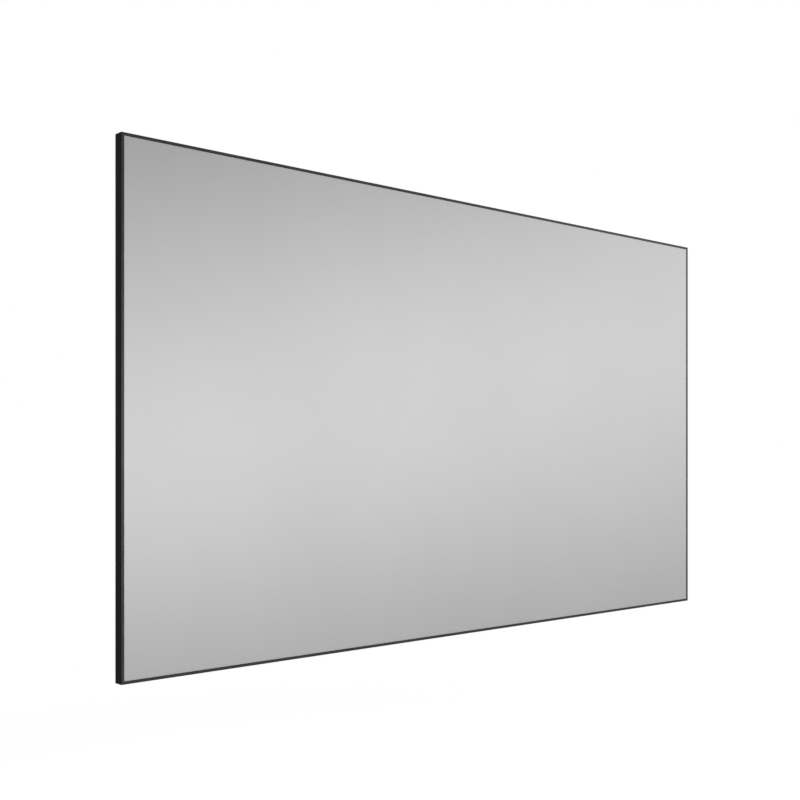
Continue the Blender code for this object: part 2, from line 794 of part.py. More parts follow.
def hanger_mesh():
    mesh = prism([hanger_section()], HANGER_WIDTH / 2)
    shape = bmesh.new()
    shape.from_mesh(mesh)
    ends = [
        line
        for line in shape.edges
        if all(abs(vertex.co.x - HANGER_END) < MERGE for vertex in line.verts)
        and abs(line.verts[0].co.z - line.verts[1].co.z) < MERGE
    ]
    bmesh.ops.bevel(shape, geom=ends, offset=HANGER_CORNER, segments=3, profile=0.5, affect="EDGES")
    shape.to_mesh(mesh)
    shape.free()
    return mesh


def add_hangers():
    slots = [slot_outline(-SLOT_SPACING / 2), slot_outline(SLOT_SPACING / 2)]
    mesh = hanger_mesh()
    for name, along in (("left", -HANGER_SPACING), ("centre", 0), ("right", HANGER_SPACING)):
        hanger = add_part(f"wall_hanger_{name}", mesh, "hanger_steel", SIDES["top"], (0, 0, along))
        cutter = add_cutter(f"{name}_slots", prism(slots, 2 * HANGER_SHEET), SIDES["top"])
        cutter.location = (0, WALL, along)
        cutter.rotation_euler = (math.radians(90), 0, 0)
        use(hanger, cutter)


def add_bumpers():
    """Rubber pads on the bottom flange that keep the hung frame parallel to the wall."""
    low, high = BEAM_BACK + GAP, WALL
    inward = (BEAM_INNER - BEAM_WALL + FLANGE_EDGE) / 2
    mesh = boxes([(0, 0, 0)], (BUMPER_WIDTH, high - low, BUMPER_LENGTH))
    shape = bmesh.new()
    shape.from_mesh(mesh)
    upright = [
        line for line in shape.edges if abs(line.verts[0].co.y - line.verts[1].co.y) > MERGE
    ]
    bmesh.ops.bevel(shape, geom=upright, offset=BUMPER_EDGE, segments=2, profile=0.5, affect="EDGES")
    shape.to_mesh(mesh)
    shape.free()
    reach = WIDTH / 2 - BUMPER_FROM_CORNER
    for name, along in (("left", reach), ("right", -reach)):
        place = (inward, (low + high) / 2, along)
        add_part(f"wall_bumper_{name}", mesh, "bumper_rubber", SIDES["bottom"], place)


bpy.context.view_layer.update()
SCREW = screw_mesh()
for each_side in SIDES:
    add_side(each_side)
    add_tension(each_side)
add_plates()
add_fabric()
add_support_bars()
add_hangers()
add_bumpers()
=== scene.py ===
import math

import bmesh
import bpy
from mathutils import Matrix, Vector


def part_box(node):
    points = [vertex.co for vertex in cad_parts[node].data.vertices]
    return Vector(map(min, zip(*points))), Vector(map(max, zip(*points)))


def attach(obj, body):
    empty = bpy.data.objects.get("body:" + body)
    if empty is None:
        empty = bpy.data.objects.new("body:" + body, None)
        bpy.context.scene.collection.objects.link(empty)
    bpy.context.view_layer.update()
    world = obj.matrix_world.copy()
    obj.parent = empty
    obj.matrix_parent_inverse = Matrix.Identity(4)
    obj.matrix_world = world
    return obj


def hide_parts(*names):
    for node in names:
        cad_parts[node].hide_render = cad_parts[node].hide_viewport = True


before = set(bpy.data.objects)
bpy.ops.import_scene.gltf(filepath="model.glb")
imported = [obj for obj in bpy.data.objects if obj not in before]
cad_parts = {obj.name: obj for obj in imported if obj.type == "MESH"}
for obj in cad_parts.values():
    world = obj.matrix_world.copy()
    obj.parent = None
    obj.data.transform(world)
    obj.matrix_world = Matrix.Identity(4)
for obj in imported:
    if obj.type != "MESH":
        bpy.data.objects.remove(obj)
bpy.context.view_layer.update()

# Sizes that the solids don't give directly, in metres, with angles in degrees
GAP = 0.0003  # between pieces that touch

# Fabric
FABRIC_THICKNESS = 0.0004
FABRIC_NOTCH = 0.028  # how far from the outer corner each folded flap starts
HEM_START = 0.006  # inward place where the hem's two layers part round the rod
HEM_WINDOW = 0.010  # width of the window in the hem at each spring
HEM_EASE = 10  # how far the hem's arc round the rod stays from its two tangents
FLAT_NORMAL = 0.9999  # a normal with more than this along Y belongs to a flat stretch

# Bezel and beams
BEZEL_SHEET = 0.0012
BEZEL_LIP = 0.0055
BEZEL_EDGE_RADIUS = 0.0005
BEZEL_INNER_RADIUS = 0.0003
FACES_FRONT = -0.7  # a normal with less than this along Y faces the front
BEAM_WALL = 0.0016
NOSE_RADIUS = 0.0015  # rounding of the beam's edge that the fabric folds over
CHANNEL_DEPTH = 0.0085
FLANGE_REACH = 0.008  # from the beam's inner face inward
RIDGE_FROM_INNER = 0.0084  # from the beam's inner face to the ridge that the springs hook over
RIDGE_HEIGHT = 0.0045  # above the channel's floor

# Rods and springs
ROD_INWARD = 0.011
ROD_RADIUS = 0.002
ROD_EDGE = 0.0004
ROD_SIDES = 24
SPRING_COUNTS = {"top": 12, "bottom": 12, "left": 7, "right": 7}
SPRING_FROM_CORNER = 0.090
SPRING_RADIUS = 0.003
SPRING_BODY = 0.014
SPRING_FROM_ROD = 0.006
SPRING_PITCH = 0.00105
SPRING_POINTS = 14  # in each turn
SPRING_NECK = 0.25  # the share of the coil's radius at which its end turns begin
SPRING_LEAD = 0.0012  # straight wire at each end of the coil
WIRE_RADIUS = 0.00045
WIRE_RESOLUTION = 2
HOOK_FROM = 290  # where the hook round the rod ends
HOOK_TO = 40  # and where its wire leaves for the coil
HOOK_DROP = 0.0028  # how far the second hook goes down behind the ridge
HOOK_BEND = 0.0009
HOOK_BEFORE_RIDGE = 0.001

# Screws
SCREW_HEAD = 0.0024
SCREW_HEAD_RADIUS = 0.0044
SCREW_HEAD_EDGE = 0.0007
SCREW_EASE = 0.0002
SCREW_RADIUS = 0.0024
SCREW_PLAIN = 0.0006  # plain shank at each end of the thread
SCREW_SOCKET = 0.0014
SCREW_SOCKET_RADIUS = 0.0018
SCREW_SIDES = 36
THREAD_PITCH = 0.0008
THREAD_DEPTH = 0.00035
THREAD_RINGS = 6  # in each turn

# Support bars and shoes
BAR_WALL = 0.0012
BAR_EDGE_RADIUS = 0.0015
SHOE_PLUG = 0.020
SHOE_EDGE = 0.0002
SHOE_GROOVES = 4
SHOE_GROOVE_WIDTH = 0.0012
SHOE_GROOVE_DEPTH = 0.0005

# Wall hangers and bumpers
HANGER_SHEET = 0.002
HANGER_BEND = 0.001
HANGER_CORNER = 0.006
HANGER_CORNER_SEGMENTS = 9
HANGER_EDGE = 0.0003
TONGUE_GAP = 0.001
SLOT_SPACING = 0.060
SLOT_LENGTH = 0.018
SLOT_WIDTH = 0.0064
BUMPER_CORNER = 0.001
BUMPER_EDGE = 0.00035
BUMPER_GROOVES = 7
BUMPER_GROOVE_WIDTH = 0.0012
BUMPER_GROOVE_DEPTH = 0.0006

# Fineness of the meshes
ARC_STEP = 10
EDGE_STEP = 30  # on the rods' small edges
HOOK_STEP = 15
BEND_STEP = 18  # on the springs' second hooks and the screws' heads
SMOOTH_UNDER = 35  # faces that meet at less look round
FINE_SMOOTH_UNDER = 50  # the same on the springs and the screws
EASED_OVER = 40  # edges that turn by more are bevelled
FLAT_UNDER = 0.1
MERGE = 0.000001

# Places that the solids give
BEZEL_LOW, BEZEL_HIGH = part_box("bezel_left")
LEFT_X, FRONT_Y = BEZEL_LOW.x, BEZEL_LOW.y
RIGHT_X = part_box("bezel_right")[1].x
TOP_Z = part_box("bezel_top_left")[1].z
BOTTOM_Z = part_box("bezel_bottom_left")[0].z
WIDTH = RIGHT_X - LEFT_X
HEIGHT = TOP_Z - BOTTOM_Z
MIDDLE = Vector(((LEFT_X + RIGHT_X) / 2, FRONT_Y, (TOP_Z + BOTTOM_Z) / 2))
BEAM_LOW, BEAM_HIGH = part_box("beam_left")
BEZEL_FACE = BEZEL_HIGH.x - LEFT_X
BEZEL_DEPTH = BEZEL_HIGH.y - FRONT_Y
BEAM_OUTER = BEAM_LOW.x - LEFT_X
BEAM_FRONT = BEAM_LOW.y - FRONT_Y
BEAM_BACK = BEAM_HIGH.y - FRONT_Y
FLANGE_EDGE = BEAM_HIGH.x - LEFT_X
BEAM_INNER = FLANGE_EDGE - FLANGE_REACH
RIDGE = BEAM_INNER - RIDGE_FROM_INNER - BEAM_WALL
RIDGE_BACK = BEAM_BACK - CHANNEL_DEPTH + RIDGE_HEIGHT
RIM_BACK = BEZEL_DEPTH - BEAM_OUTER
FABRIC_MID = BEZEL_SHEET + GAP + FABRIC_THICKNESS / 2
HEM_BACK = RIM_BACK + GAP + FABRIC_THICKNESS / 2
WALL = -FRONT_Y

# The camera, the lamps and the floor, from the middle of the screen's front
CAMERA_PLACE = Vector((-2.3799, -2.3682, -0.0987))
CAMERA_TURN = math.radians(-41.78)
CAMERA_LENS = 51.58
CAMERA_SENSOR = 36.0
CAMERA_SHIFT_UP = 0.0646
FRONT_LAMPS = {  # name: (right, forward, up, watts)
    "left": (-1.295, 0.862, -0.127, 5.05),
    "middle": (-0.444, 1.018, 0.037, 5.0),
    "right": (0.478, 1.219, 0.147, 7.45),
    "far": (2.4, 1.722, 0.619, 41.4),
}
FRONT_LAMP_SIZE = (0.6, 0.3)
BACK_LAMPS = {"left": -0.7, "right": 0.7}
BACK_LAMP_AWAY = 2.0
BACK_LAMP_UP = 0.9
BACK_LAMP_SIZE = (2.0, 2.0)
BACK_LAMP_WATTS = 11.0
AMBIENT = 0.14
FLOOR_BELOW = 0.9
FLOOR_RADIUS = 12.0
FLOOR_SIDES = 96
FLOOR_SHADOW_NEAR = 1.5
FLOOR_SHADOW_FAR = 4.0
FLOOR_GLOW = 0.86
FLOOR_LIT = (0.55, 0.55, 0.55, 1)
FLOOR_PALE = (0.8, 0.8, 0.8, 1)
WHITE = (1, 1, 1, 1)


# Frames of reference: local X inward from the edge, local Y to the back, local Z along the side


def side_matrix(origin, inward, along):
    axes = Matrix((inward, (0, 1, 0), along)).transposed()
    return Matrix.Translation(origin) @ axes.to_4x4()


SIDES = {
    "top": side_matrix((MIDDLE.x, FRONT_Y, TOP_Z), (0, 0, -1), (1, 0, 0)),
    "bottom": side_matrix((MIDDLE.x, FRONT_Y, BOTTOM_Z), (0, 0, 1), (-1, 0, 0)),
    "left": side_matrix((LEFT_X, FRONT_Y, MIDDLE.z), (1, 0, 0), (0, 0, 1)),
    "right": side_matrix((RIGHT_X, FRONT_Y, MIDDLE.z), (-1, 0, 0), (0, 0, -1)),
}
LENGTHS = {"top": WIDTH, "bottom": WIDTH, "left": HEIGHT, "right": HEIGHT}
UPRIGHT = Matrix.Rotation(math.radians(90), 4, "X")  # turns local Y up to local Z
FACING_WALL = Matrix.Rotation(math.radians(-90), 4, "X")  # turns local Z back to the wall


def nodes_named(start):
    """The nodes whose names start so, in order."""
    return sorted(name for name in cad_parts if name.startswith(start))


def side_of(node):
    """The side that a node's name gives first, such as the top of bezel_top_left."""
    return next(word for word in node.split("_") if word in SIDES)


def side_box(node, side):
    """A node's lowest and highest corners in a side's own axes."""
    inverse = SIDES[side].inverted()
    corners = [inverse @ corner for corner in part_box(node)]
    return tuple(Vector(map(pick, *corners)) for pick in (min, max))


def spring_places(side):
    """The springs' places along a side, evenly spaced."""
    reach = LENGTHS[side] / 2 - SPRING_FROM_CORNER
    count = SPRING_COUNTS[side]
    return [-reach + 2 * reach * i / (count - 1) for i in range(count)]


# Nodes of a material or a world


def set_input(owner, socket, value):
    if isinstance(value, bpy.types.NodeSocket):
        owner.node_tree.links.new(value, socket)
    else:
        socket.default_value = value


def add_node(owner, kind, **inputs):
    """A new node with its inputs set by name, an underscore standing for a space."""
    node = owner.node_tree.nodes.new(kind)
    for name, value in inputs.items():
        set_input(owner, node.inputs[name.replace("_", " ")], value)
    return node


def calculated(owner, operation, first, second):
    node = add_node(owner, "ShaderNodeMath")
    node.operation = operation
    set_input(owner, node.inputs[0], first)
    set_input(owner, node.inputs[1], second)
    return node.outputs["Value"]


def mixed_shader(owner, share, first, second):
    """The first shader where the share is 0, and the second where it is 1."""
    node = add_node(owner, "ShaderNodeMixShader", Fac=share)
    set_input(owner, node.inputs[1], first)
    set_input(owner, node.inputs[2], second)
    return node.outputs["Shader"]


# Patterns and finishes: a noise's scale is in cells a metre, and a bump's distance in metres

EVEN = (1, 1, 1)
USUAL_RANGE = (0.3, 0.7)  # a noise seldom leaves it
COLOUR_INPUTS = (6, 7)  # the two colours among a Mix node's inputs
COLOUR_OUTPUT = 2


def stretched_place(material, stretch):
    """The surface's own place, scaled along each axis: a small scale draws a pattern out along it."""
    place = add_node(material, "ShaderNodeTexCoord")
    mapping = add_node(material, "ShaderNodeMapping", Vector=place.outputs["Object"], Scale=stretch)
    return mapping.outputs["Vector"]


def noise(material, scale, detail, stretch=EVEN):
    place = stretched_place(material, stretch)
    node = add_node(material, "ShaderNodeTexNoise", Vector=place, Scale=scale, Detail=detail)
    return node.outputs["Fac"]


def between(material, pattern, low, high):
    """A value that follows a pattern, from low at its usual darkest to high at its usual brightest."""
    darkest, brightest = USUAL_RANGE
    node = add_node(
        material,
        "ShaderNodeMapRange",
        Value=pattern,
        From_Min=darkest,
        From_Max=brightest,
        To_Min=low,
        To_Max=high,
    )
    return node.outputs["Result"]


def blended(material, first, second, share):
    """Two patterns in one, the first with this share and the second with the rest."""
    parts = between(material, first, 0, share), between(material, second, 0, 1 - share)
    return calculated(material, "ADD", *parts)


def mixed_colour(material, pattern, low, high):
    """A colour that follows a pattern from one colour to another."""
    node = add_node(material, "ShaderNodeMix")
    node.data_type = "RGBA"
    set_input(material, node.inputs["Factor"], between(material, pattern, 0, 1))
    for socket, colour in zip(COLOUR_INPUTS, (low, high)):
        node.inputs[socket].default_value = (*colour, 1)
    return node.outputs[COLOUR_OUTPUT]


def shaded(colour, factors):
    """A colour with each channel times its own factor."""
    return tuple(channel * factor for channel, factor in zip(colour, factors))


def tint(material, pattern, colour, dark, light):
    """A colour that follows a pattern, from dark times itself to light times itself."""
    return mixed_colour(material, pattern, shaded(colour, [dark] * 3), shaded(colour, [light] * 3))


def new_material(name, colour, roughness, metallic=0.0, specular=0.5):
    material = bpy.data.materials.new(name)
    material.use_nodes = True
    shader = material.node_tree.nodes["Principled BSDF"]
    shader.inputs["Base Color"].default_value = (*colour, 1)
    shader.inputs["Roughness"].default_value = roughness
    shader.inputs["Metallic"].default_value = metallic
    shader.inputs["Specular IOR Level"].default_value = specular
    return material


def link_finish(material, colour, roughness, height, distance, strength):
    """Joins the patterns of colour, roughness and bump to the material's shader."""
    bump = add_node(material, "ShaderNodeBump", Height=height, Distance=distance, Strength=strength)
    shader = material.node_tree.nodes["Principled BSDF"]
    set_input(material, shader.inputs["Base Color"], colour)
    set_input(material, shader.inputs["Roughness"], roughness)
    set_input(material, shader.inputs["Normal"], bump.outputs["Normal"])
    return material


WEAVE_PITCH = 0.0009
WAVE_LENGTH = math.pi / 10  # of a wave of scale 1, in metres


def weave(material):
    """Crossed threads: the product of two sine bands across the sheet, a knot at each crossing."""
    place = stretched_place(material, EVEN)
    threads = []
    for direction in "XZ":
        wave = add_node(material, "ShaderNodeTexWave", Vector=place, Scale=WAVE_LENGTH / WEAVE_PITCH)
        wave.bands_direction = direction
        threads.append(wave.outputs["Fac"])
    return calculated(material, "MULTIPLY", *threads)


def screen_coating():
    """The grey side: a matt coating with a fine grain, hardly clouded from one place to the next. The
    carrier's weave shows faintly through it."""
    grey = (0.56, 0.56, 0.56)
    material = new_material("screen_coating", grey, roughness=0.6, specular=0.12)
    grain = noise(material, scale=1500, detail=3)
    cloud = noise(material, scale=2.2, detail=3)
    both = blended(material, grain, cloud, share=0.8)
    return link_finish(
        material,
        colour=tint(material, both, grey, dark=0.96, light=1.04),
        roughness=between(material, grain, low=0.54, high=0.66),
        height=calculated(material, "ADD", weave(material), grain),
        distance=0.00012,
        strength=0.28,
    )


def screen_backing():
    """The sheet's back: a black woven carrier under a thin coat."""
    black = (0.03, 0.03, 0.032)
    material = new_material("screen_backing", black, roughness=0.75, specular=0.3)
    threads = weave(material)
    fibre = noise(material, scale=700, detail=3)
    both = blended(material, threads, fibre, share=0.6)
    return link_finish(
        material,
        colour=tint(material, both, black, dark=0.55, light=1.6),
        roughness=between(material, fibre, low=0.68, high=0.82),
        height=calculated(material, "ADD", threads, fibre),
        distance=0.0003,
        strength=0.6,
    )


def drawn_metal(name, colour, roughness, along, metallic=1.0, specular=0.5):
    """Metal with the fine lines of drawing or extrusion running along one axis."""
    material = new_material(name, colour, roughness, metallic, specular)
    stretch = tuple(0.01 if axis == along else 1 for axis in "XYZ")
    lines = noise(material, scale=2600, detail=3, stretch=stretch)
    patches = noise(material, scale=14, detail=3)
    both = blended(material, lines, patches, share=0.5)
    return link_finish(
        material,
        colour=tint(material, both, colour, dark=0.88, light=1.12),
        roughness=between(material, both, low=roughness - 0.06, high=roughness + 0.08),
        height=lines,
        distance=0.00003,
        strength=0.4,
    )


def zinc_plate(name, colour, roughness):
    """Zinc plating: soft crystal patches, faintly yellow and blue."""
    material = new_material(name, colour, roughness, metallic=1.0)
    place = stretched_place(material, EVEN)
    crystals = add_node(material, "ShaderNodeTexVoronoi", Vector=place, Scale=260.0)
    facets = crystals.outputs["Distance"]
    patches = noise(material, scale=30, detail=4)
    blue = shaded(colour, (0.9, 0.94, 1))
    yellow = shaded(colour, (1.08, 1.05, 0.94))
    return link_finish(
        material,
        colour=mixed_colour(material, patches, blue, yellow),
        roughness=between(material, facets, low=roughness - 0.07, high=roughness + 0.08),
        height=noise(material, scale=900, detail=2),
        distance=0.00002,
        strength=0.3,
    )


def moulded(name, colour, roughness, scale, depth, specular=0.4):
    """Moulded plastic, rubber or blackened steel with a fine spark texture."""
    material = new_material(name, colour, roughness, specular=specular)
    spark = noise(material, scale=scale, detail=3)
    wear = noise(material, scale=60, detail=3)
    return link_finish(
        material,
        colour=tint(material, wear, colour, dark=0.8, light=1.3),
        roughness=between(material, spark, low=roughness - 0.08, high=roughness + 0.08),
        height=spark,
        distance=depth,
        strength=0.5,
    )


BEZEL_BLACK = (0.03, 0.03, 0.031)
# The front faces' paler black is painted light for the light on the bezel's front; the side and back keep
# the bezel's own black
BEZEL_FRONT_PAINTED_LIGHT = (0.052, 0.052, 0.053)
BEAM_BLACK = (0.035, 0.035, 0.037)
ALUMINIUM = (0.5, 0.505, 0.515)
ZINC = (0.46, 0.47, 0.49)
BRIGHT_ZINC = (0.55, 0.55, 0.56)
BLACK_OXIDE = (0.06, 0.06, 0.065)
NYLON_BLACK = (0.025, 0.025, 0.026)
RUBBER_BLACK = (0.02, 0.02, 0.02)

COATING = screen_coating()
BACKING = screen_backing()
BEZEL_FINISH = drawn_metal("bezel_matt", BEZEL_BLACK, 0.5, "Z", metallic=0.0, specular=0.01)
BEZEL_FRONT_PAINTED_LIGHT_FINISH = drawn_metal(
    "bezel_front_satin_painted_light", BEZEL_FRONT_PAINTED_LIGHT, 0.35, "Z", metallic=0.0, specular=0.06
)
BEAM_FINISH = {
    axis: drawn_metal(f"beam_along_{axis}", BEAM_BLACK, 0.48, axis, metallic=0.3, specular=0.4)
    for axis in "XZ"
}
BAR_FINISH = drawn_metal("bar_aluminium", ALUMINIUM, 0.36, "Z")
PLATE_FINISH = zinc_plate("plate_zinc", ZINC, 0.4)
HANGER_FINISH = zinc_plate("hanger_zinc", ZINC, 0.38)
WIRE_FINISH = zinc_plate("wire_zinc", BRIGHT_ZINC, 0.28)
SCREW_FINISH = moulded("screw_black_oxide", BLACK_OXIDE, 0.38, scale=1200, depth=0.00002, specular=0.6)
SHOE_FINISH = moulded("shoe_nylon", NYLON_BLACK, 0.55, scale=1800, depth=0.00004)
BUMPER_FINISH = moulded("bumper_rubber", RUBBER_BLACK, 0.8, scale=1000, depth=0.00006, specular=0.25)


# Shapes


def arc(centre, radius, start, end, step=ARC_STEP):
    """Points on an arc from one angle to another, ends included."""
    count = max(1, round(abs(end - start) / step))
    begin, finish = math.radians(start), math.radians(end)
    angles = [begin + (finish - begin) * i / count for i in range(count + 1)]
    return [(centre[0] + radius * math.cos(a), centre[1] + radius * math.sin(a)) for a in angles]


def rounded_rectangle(half_x, half_y, radius):
    x, y = half_x - radius, half_y - radius
    return [
        *arc((x, y), radius, 0, 90),
        *arc((-x, y), radius, 90, 180),
        *arc((-x, -y), radius, 180, 270),
        *arc((x, -y), radius, 270, 360),
    ]


def add_piece(name, data, finish, replaced=(), matrix=None):
    """A piece of the screen that rides on the part's one body."""
    piece = bpy.data.objects.new(name, data)
    bpy.context.scene.collection.objects.link(piece)
    if matrix:
        piece.matrix_world = matrix
    if finish and not data.materials:
        data.materials.append(finish)
    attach(piece, "root")
    if replaced:
        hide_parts(*replaced)
    return piece


def shade_round(mesh, degrees=SMOOTH_UNDER):
    mesh.shade_smooth()
    mesh.set_sharp_from_angle(angle=math.radians(degrees))


def baked(made, others=()):
    """The evaluated mesh of a helper object, which is removed with its own helpers."""
    helpers = [made, *others]
    for helper in helpers:
        bpy.context.scene.collection.objects.link(helper)
    bpy.context.view_layer.update()
    graph = bpy.context.evaluated_depsgraph_get()
    mesh = bpy.data.meshes.new_from_object(made.evaluated_get(graph))
    for helper in helpers:
        bpy.data.objects.remove(helper)
    return mesh


def written(shape, mesh):
    """The mesh with a finished bmesh shape in it."""
    shape.to_mesh(mesh)
    shape.free()
    return mesh


def prism(loops, half_length):
    """Flat outlines, the later ones holes in the first, extruded both ways along local Z."""
    curve = bpy.data.curves.new("outline", "CURVE")
    curve.dimensions = "2D"
    curve.fill_mode = "BOTH"
    curve.extrude = half_length
    for loop in loops:
        spline = curve.splines.new("POLY")
        spline.points.add(len(loop) - 1)
        for point, (x, y) in zip(spline.points, loop):
            point.co = (x, y, 0, 1)
        spline.use_cyclic_u = True
    mesh = baked(bpy.data.objects.new("outline", curve))
    shape = bmesh.new()
    shape.from_mesh(mesh)
    bmesh.ops.remove_doubles(shape, verts=shape.verts, dist=MERGE)
    bmesh.ops.recalc_face_normals(shape, faces=shape.faces)
    return written(shape, mesh)


def with_whole_flats(mesh):
    """The mesh with the flat faces that lie side by side made one."""
    shape = bmesh.new()
    shape.from_mesh(mesh)
    limit = math.radians(FLAT_UNDER)
    bmesh.ops.dissolve_limit(shape, angle_limit=limit, verts=shape.verts, edges=shape.edges)
    return written(shape, mesh)


def joined(mesh, other, operation):
    """One mesh from two by an exact Boolean."""
    made = bpy.data.objects.new("made", mesh)
    tool = bpy.data.objects.new("tool", other)
    modifier = made.modifiers.new("joined", "BOOLEAN")
    modifier.operation = operation
    modifier.object = tool
    modifier.solver = "EXACT"
    return with_whole_flats(baked(made, [tool]))


def blocks(places, size):
    """One mesh of equal boxes centred on the places."""
    shape = bmesh.new()
    for place in places:
        matrix = Matrix.Translation(place) @ Matrix.Diagonal((*size, 1))
        bmesh.ops.create_cube(shape, size=1, matrix=matrix)
    return written(shape, bpy.data.meshes.new("blocks"))


def turned(name, rings, sides):
    """A closed mesh of rings round local Z, from the top to the bottom. Each ring is (height, radius): the
    radius is a number, a function of the angle, or None for a single point on the axis."""
    shape = bmesh.new()
    loops = []
    for height, radius in rings:
        if radius is None:
            loops.append([shape.verts.new((0, 0, height))])
            continue
        loop = []
        for i in range(sides):
            angle = 2 * math.pi * i / sides
            reach = radius(angle) if callable(radius) else radius
            loop.append(shape.verts.new((reach * math.cos(angle), reach * math.sin(angle), height)))
        loops.append(loop)
    for upper, lower in zip(loops, loops[1:]):
        for i in range(sides):
            j = (i + 1) % sides
            if len(upper) == 1:
                shape.faces.new((upper[0], lower[i], lower[j]))
            elif len(lower) == 1:
                shape.faces.new((upper[i], lower[0], upper[j]))
            else:
                shape.faces.new((upper[i], lower[i], lower[j], upper[j]))
    bmesh.ops.recalc_face_normals(shape, faces=shape.faces)
    return written(shape, bpy.data.meshes.new(name))


def round_edges(piece, width, segments):
    """Breaks a hard piece's edges, so that they catch the light."""
    piece.data.shade_smooth()
    bevel = piece.modifiers.new("edges", "BEVEL")
    bevel.width = width
    bevel.segments = segments
    bevel.limit_method = "ANGLE"
    bevel.angle_limit = math.radians(EASED_OVER)
    bevel.harden_normals = True


# Fabric


def fabric_path():
    """The flap's middle line, from the front sheet's edge round the beam and the rod."""
    fold = (BEAM_OUTER + NOSE_RADIUS, BEAM_FRONT + NOSE_RADIUS)
    rim = (BEAM_OUTER + BEAM_WALL / 2, RIM_BACK - BEAM_WALL / 2)
    clear = GAP + FABRIC_THICKNESS / 2
    round_rod = ROD_RADIUS + clear
    tangent = 180 - math.degrees(math.acos(round_rod / (ROD_INWARD - HEM_START)))
    parting = HEM_START + 2 * FABRIC_THICKNESS
    return [
        *arc(fold, NOSE_RADIUS + clear, 270, 180),
        *arc(rim, BEAM_WALL / 2 + clear, 180, 90),
        (HEM_START, HEM_BACK),
        (parting, HEM_BACK + FABRIC_THICKNESS),
        *arc((ROD_INWARD, HEM_BACK), round_rod, tangent - HEM_EASE, HEM_EASE - tangent),
        (parting, HEM_BACK - 2 * FABRIC_THICKNESS),
    ]


def fabric_breaks(side, edge):
    """Where the sheet's grid lines cross a side: its ends, its notches and both edges of each window."""
    half = LENGTHS[side] / 2
    windows = [place + sign * HEM_WINDOW / 2 for place in spring_places(side) for sign in (-1, 1)]
    return [edge - half, FABRIC_NOTCH - half, *windows, half - FABRIC_NOTCH, half - edge]


def front_sheet(shape, columns, rows):
    """The flat front as a grid of faces, with its vertices by (column, row)."""
    spots = {}
    for i, x in enumerate(columns):
        for j, z in enumerate(rows):
            spots[i, j] = shape.verts.new((MIDDLE.x + x, FRONT_Y + FABRIC_MID, MIDDLE.z + z))
    for i in range(len(columns) - 1):
        for j in range(len(rows) - 1):
            shape.faces.new((spots[i, j], spots[i + 1, j], spots[i + 1, j + 1], spots[i, j + 1]))
    return spots


def fold_flap(shape, side, edge_spots, path):
    """One flap from the front's edge, with the windows for the springs left out of its hem."""
    lines = [edge_spots]
    for inward, back in path[1:]:
        line = []
        for first in edge_spots:
            along = (SIDES[side].inverted() @ first.co).z
            line.append(shape.verts.new(SIDES[side] @ Vector((inward, back, along))))
        lines.append(line)
    hem = path.index((HEM_START, HEM_BACK))
    for number, (upper, lower) in enumerate(zip(lines, lines[1:])):
        for i in range(len(upper) - 1):
            window = i % 2 == 1
            if not (window and number > hem):
                shape.faces.new((upper[i], upper[i + 1], lower[i + 1], lower[i]))


def fabric_mesh(path):
    edge = path[0][0]
    columns = fabric_breaks("top", edge)
    rows = fabric_breaks("left", edge)
    shape = bmesh.new()
    spots = front_sheet(shape, columns, rows)
    last_column, last_row = len(columns) - 1, len(rows) - 1
    edges = {
        "bottom": [spots[i, 0] for i in range(1, last_column)],
        "top": [spots[i, last_row] for i in range(1, last_column)],
        "left": [spots[0, j] for j in range(1, last_row)],
        "right": [spots[last_column, j] for j in range(1, last_row)],
    }
    for side, edge_spots in edges.items():
        fold_flap(shape, side, edge_spots, path)
    for loose in [vertex for vertex in shape.verts if not vertex.link_faces]:
        shape.verts.remove(loose)
    bmesh.ops.recalc_face_normals(shape, faces=shape.faces)
    shape.faces.ensure_lookup_table()
    front = shape.faces[0]
    if front.normal.y > 0:
        bmesh.ops.reverse_faces(shape, faces=shape.faces)
    for face in shape.faces:
        # The flat front keeps one even normal up to its fold
        face.smooth = abs(face.normal.y) < FLAT_NORMAL
    return written(shape, bpy.data.meshes.new("fabric"))


def add_fabric():
    """One sheet, grey in front and black behind, stretched over the beams."""
    path = fabric_path()
    mesh = fabric_mesh(path)
    mesh.materials.append(COATING)
    mesh.materials.append(BACKING)
    fabric = add_piece("stretched_fabric", mesh, None, ["screen_fabric"])
    sheet = fabric.modifiers.new("thickness", "SOLIDIFY")
    sheet.thickness = FABRIC_THICKNESS
    sheet.offset = 0
    sheet.use_even_offset = True
    sheet.material_offset = 1
    sheet.material_offset_rim = 1


# Bezel


def bezel_section():
    """The thin C: its outer edges rounded, its inner corners filleted, its lips' ends eased."""
    edge, ease, sheet = BEZEL_EDGE_RADIUS, BEZEL_INNER_RADIUS, BEZEL_SHEET
    rear = BEZEL_DEPTH - sheet
    fillet = sheet + ease
    return [
        *arc((edge, edge), edge, 180, 270),
        *arc((BEZEL_FACE - ease, ease), ease, 270, 360),
        (BEZEL_FACE, sheet),
        *arc((fillet, fillet), ease, 270, 180),
        *arc((fillet, rear - ease), ease, 180, 90),
        (BEZEL_LIP, rear),
        *arc((BEZEL_LIP - ease, BEZEL_DEPTH - ease), ease, 0, 90),
        *arc((edge, BEZEL_DEPTH - edge), edge, 90, 180),
    ]


